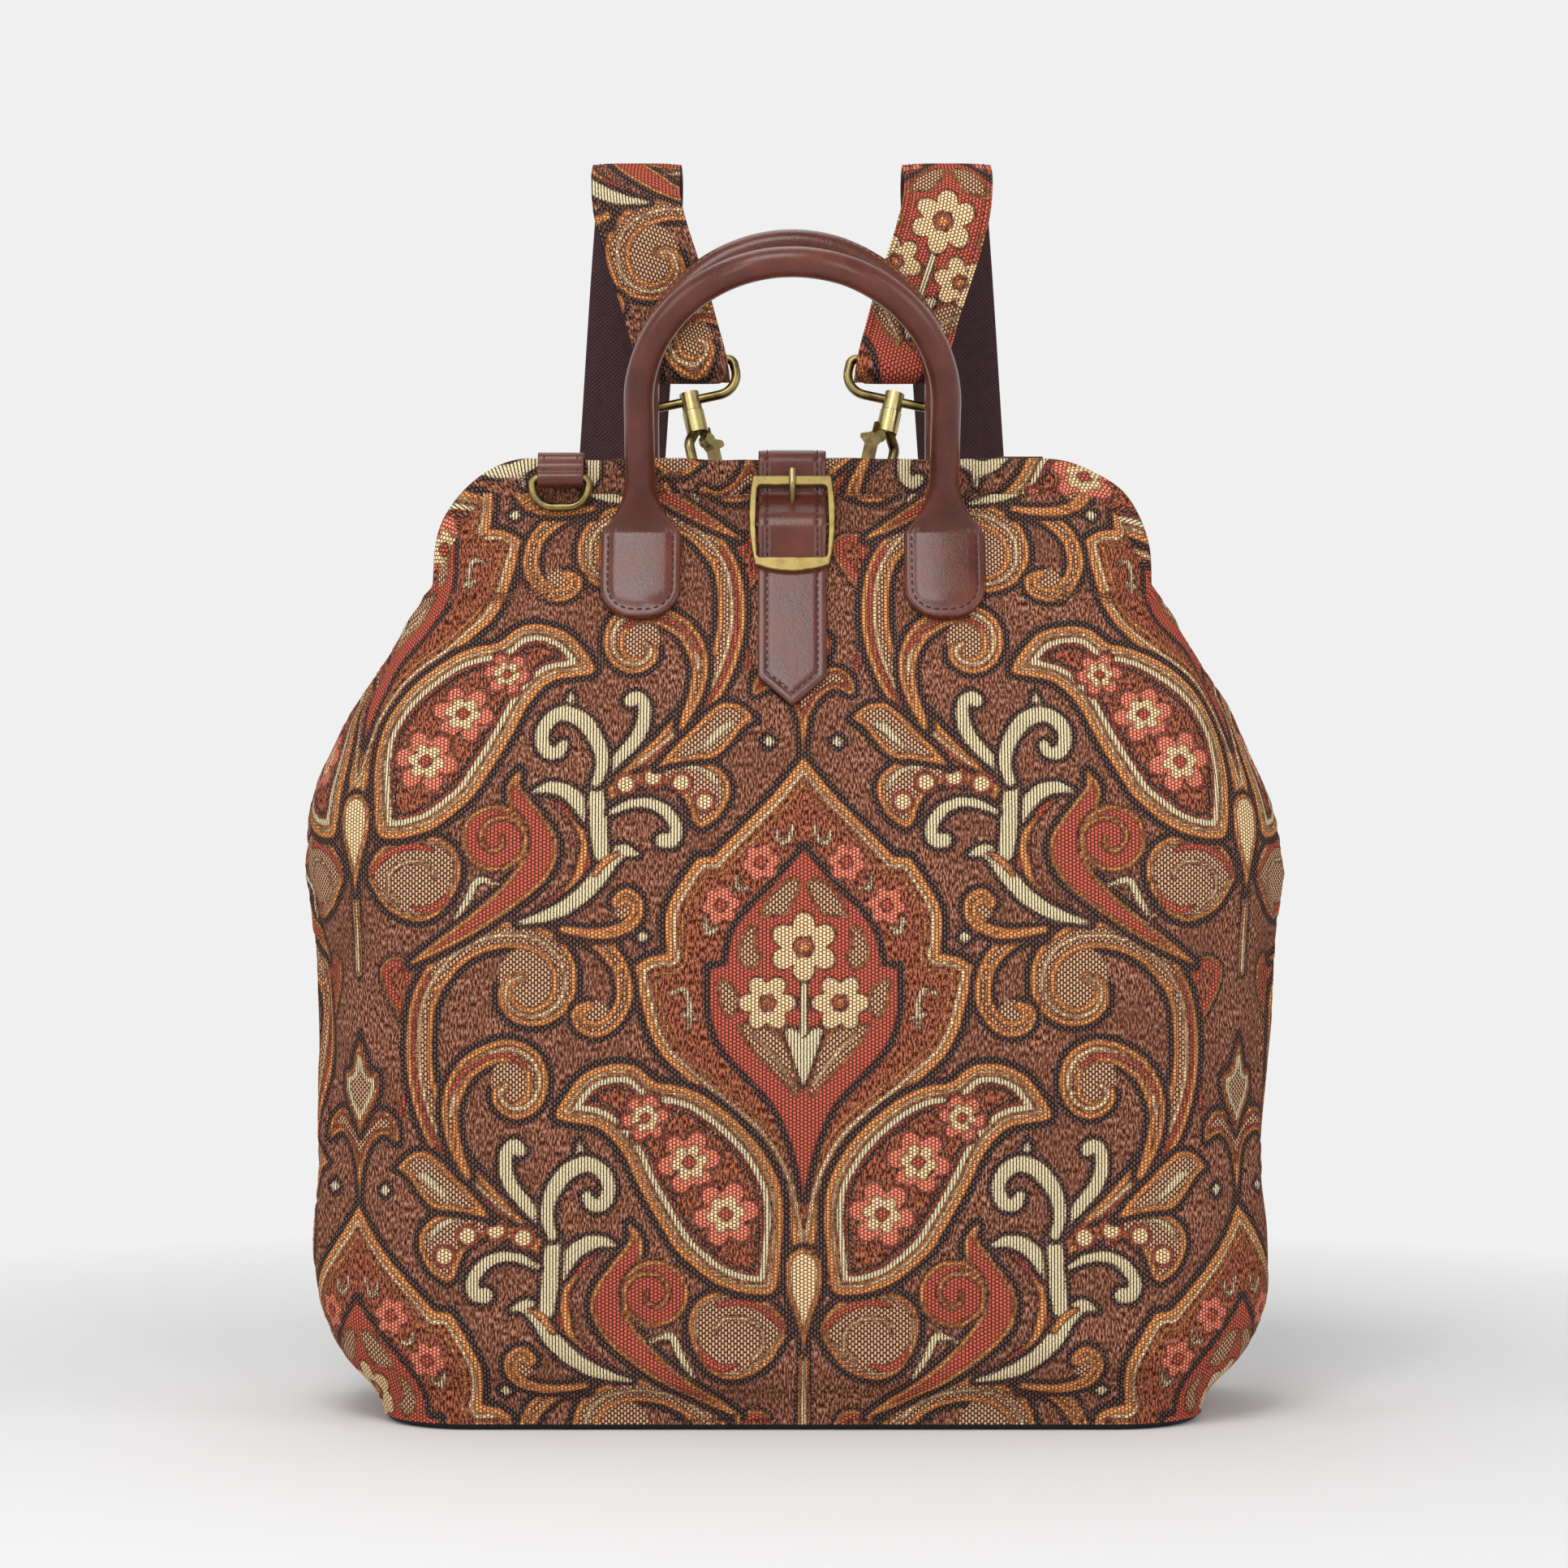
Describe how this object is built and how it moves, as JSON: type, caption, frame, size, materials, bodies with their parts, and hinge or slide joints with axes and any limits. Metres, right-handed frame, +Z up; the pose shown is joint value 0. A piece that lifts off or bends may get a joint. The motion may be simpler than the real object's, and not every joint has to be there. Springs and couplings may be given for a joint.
{
  "type": "laptop backpack",
  "caption": "Carpet-bag style laptop backpack in tapestry with a framed mouth, leather handles, buckled closing strap and clip-on shoulder straps",
  "frame": {"origin": "centre of the flat base on the floor", "axes": "+Z up, +X to the right seen from the front, front faces -Y"},
  "size_m": [0.4006, 0.2013, 0.5291],
  "materials": {
    "tapestry": "chenille damask",
    "leather": "glossy",
    "brass": "antiqued",
    "webbing": "woven",
    "base_cloth": "coated canvas",
    "lining_cloth": "plain weave",
    "sleeve_cloth": "padded plain weave",
    "board": "matte",
    "steel": "zinc plated"
  },
  "bodies": {
    "bag": {"back_casing": "tapestry", "back_frame": "steel", "back_handle": "leather", "back_panel": "tapestry", "base_board": "board", "base_panel": "base_cloth", "buckle_frame": "brass", "buckle_tongue": "brass", "closure_strap": "leather", "front_casing": "tapestry", "front_frame": "steel", "front_handle": "leather", "front_panel": "tapestry", "front_ring_tab": "leather", "laptop_sleeve": "sleeve_cloth", "left_frame_rivet": "steel", "left_low_hook_eye": "brass", "left_low_ring": "brass", "left_low_tab": "leather", "left_strap_face": "tapestry", "left_strap_webbing": "webbing", "left_top_hook_eye": "brass", "left_top_ring": "brass", "left_top_tab": "leather", "lining": "lining_cloth", "rear_ring_tab": "leather", "right_frame_rivet": "steel", "right_low_hook_eye": "brass", "right_low_ring": "brass", "right_low_tab": "leather", "right_strap_face": "tapestry", "right_strap_webbing": "webbing", "right_top_hook_eye": "brass", "right_top_ring": "brass", "right_top_tab": "leather", "snap_socket": "brass", "snap_stud": "brass"},
    "front_ring": {"front_d_ring": "brass"},
    "rear_ring": {"rear_d_ring": "brass"},
    "left_top_hook": {"left_top_hook_body": "brass"},
    "left_top_gate": {"left_top_hook_gate": "brass"},
    "left_low_hook": {"left_low_hook_body": "brass"},
    "left_low_gate": {"left_low_hook_gate": "brass"},
    "left_slider": {"left_slider": "brass"},
    "right_top_hook": {"right_top_hook_body": "brass"},
    "right_top_gate": {"right_top_hook_gate": "brass"},
    "right_low_hook": {"right_low_hook_body": "brass"},
    "right_low_gate": {"right_low_hook_gate": "brass"},
    "right_slider": {"right_slider": "brass"}
  },
  "joints": [
    {"name": "front_ring_swing", "type": "hinge", "parent": "bag", "child": "front_ring", "pos_m": [-0.096, -0.0189, 0.3865], "axis": [-1, 0, 0], "range_deg": [0, 150]},
    {"name": "rear_ring_swing", "type": "hinge", "parent": "bag", "child": "rear_ring", "pos_m": [0.096, 0.0189, 0.3865], "axis": [1, 0, 0], "range_deg": [0, 150]},
    {"name": "left_top_hook_swivel", "type": "hinge", "parent": "bag", "child": "left_top_hook", "pos_m": [-0.04232, 0.03328, 0.4193], "axis": [-0.2164, 0.203, 0.955], "range_deg": [0, 80]},
    {"name": "left_top_gate_open", "type": "hinge", "parent": "left_top_hook", "child": "left_top_gate", "pos_m": [-0.03628, 0.03393, 0.40671], "axis": [-0.6903, 0.6598, -0.2967], "range_deg": [0, 22], "stiffness_Nm_per_rad": 0.02, "springref_deg": -11.46},
    {"name": "left_low_hook_swivel", "type": "hinge", "parent": "bag", "child": "left_low_hook", "pos_m": [-0.10264, 0.09092, 0.10542], "axis": [0.0698, 0.0869, 0.9938], "range_deg": [-10, 70]},
    {"name": "left_low_gate_open", "type": "hinge", "parent": "left_low_hook", "child": "left_low_gate", "pos_m": [-0.10127, 0.09373, 0.09179], "axis": [-0.8639, 0.5034, 0.0166], "range_deg": [0, 22], "stiffness_Nm_per_rad": 0.02, "springref_deg": -11.46},
    {"name": "left_slider_move", "type": "slide", "parent": "bag", "child": "left_slider", "axis": [0.1075, 0.1434, 0.9838], "range_m": [-0.02, 0.02]},
    {"name": "right_top_hook_swivel", "type": "hinge", "parent": "bag", "child": "right_top_hook", "pos_m": [0.04232, 0.03328, 0.4193], "axis": [0.2164, 0.203, 0.955], "range_deg": [0, 80]},
    {"name": "right_top_gate_open", "type": "hinge", "parent": "right_top_hook", "child": "right_top_gate", "pos_m": [0.03628, 0.02757, 0.40806], "axis": [0.6903, -0.7235, -0.0027], "range_deg": [0, 22], "stiffness_Nm_per_rad": 0.02, "springref_deg": -11.46},
    {"name": "right_low_hook_swivel", "type": "hinge", "parent": "bag", "child": "right_low_hook", "pos_m": [0.10264, 0.09092, 0.10542], "axis": [-0.0698, 0.0869, 0.9938], "range_deg": [-10, 70]},
    {"name": "right_low_gate_open", "type": "hinge", "parent": "right_low_hook", "child": "right_low_gate", "pos_m": [0.10127, 0.08579, 0.09249], "axis": [0.8639, -0.4928, 0.1038], "range_deg": [0, 22], "stiffness_Nm_per_rad": 0.02, "springref_deg": -11.46},
    {"name": "right_slider_move", "type": "slide", "parent": "bag", "child": "right_slider", "axis": [-0.1075, 0.1434, 0.9838], "range_m": [-0.02, 0.02]}
  ]
}
